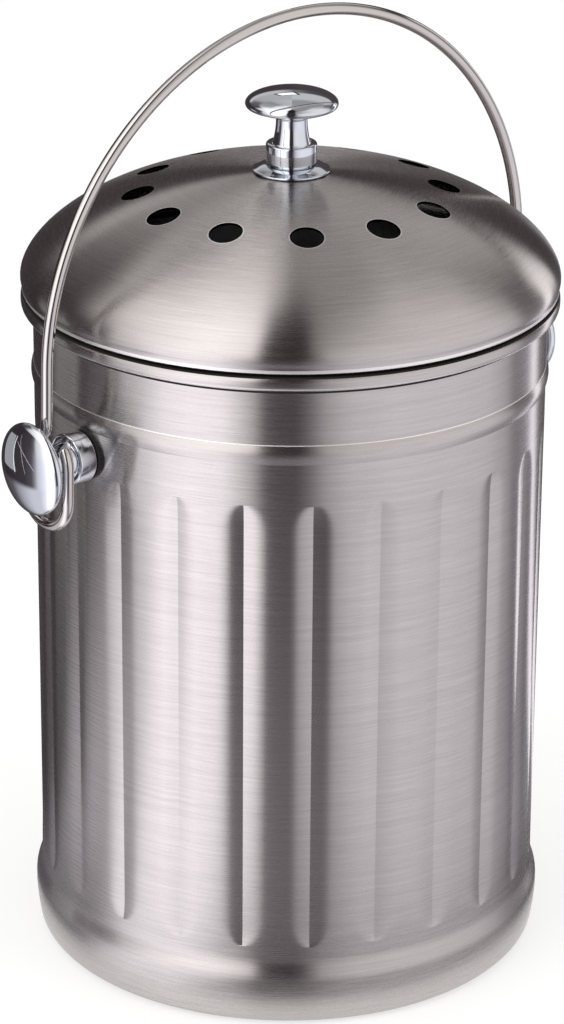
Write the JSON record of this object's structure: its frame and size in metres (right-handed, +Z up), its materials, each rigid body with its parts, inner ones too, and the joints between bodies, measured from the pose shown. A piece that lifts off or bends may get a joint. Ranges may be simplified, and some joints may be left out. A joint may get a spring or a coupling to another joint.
{
  "type": "compost pail",
  "caption": "Round steel kitchen compost pail with a fluted wall, a domed lid with air vents and a knob, a filter cassette, and a wire bail on side knobs.",
  "frame": {"origin": "centre of the base, on the surface the pail stands on", "axes": "+Z up, the bail's pivot axis along X, the bail standing 1.8 degrees off upright towards -Y as in the picture"},
  "size_m": [0.2242, 0.18, 0.3288],
  "materials": {
    "brushed_steel": "satin, brushed round the body",
    "chrome": "mirror",
    "polished_wire": "polished",
    "spacer_black": "matte",
    "cassette_black": "matte",
    "charcoal_felt": "felt",
    "zinc_steel": "zinc plated"
  },
  "bodies": {
    "pail": {"pail_body": "brushed_steel", "spacer_left": "spacer_black", "spacer_right": "spacer_black", "side_knob_left": "chrome", "side_knob_right": "chrome", "side_screw_left": "zinc_steel", "side_screw_right": "zinc_steel", "inner_washer_left": "zinc_steel", "inner_washer_right": "zinc_steel"},
    "bail": {"bail_handle": "polished_wire"},
    "lid": {"lid_shell": "brushed_steel", "lid_rosette": "chrome", "lid_knob": "chrome", "lid_screw": "zinc_steel", "lid_screw_washer": "zinc_steel", "filter_cassette": "cassette_black", "filter_pad": "charcoal_felt"},
    "grille": {"filter_grille": "cassette_black"}
  },
  "joints": [
    {"name": "bail_swing", "type": "hinge", "parent": "pail", "child": "bail", "pos_m": [0, 0, 0.1928], "axis": [1, 0, 0], "range_deg": [-139.8, 136.2]},
    {"name": "lid_lift", "type": "slide", "parent": "pail", "child": "lid", "axis": [0, 0, 1], "range_m": [0, 0.02]},
    {"name": "grille_turn", "type": "hinge", "parent": "lid", "child": "grille", "pos_m": [0, 0, 0.2254], "axis": [0, 0, 1], "range_deg": [0, 45]}
  ]
}
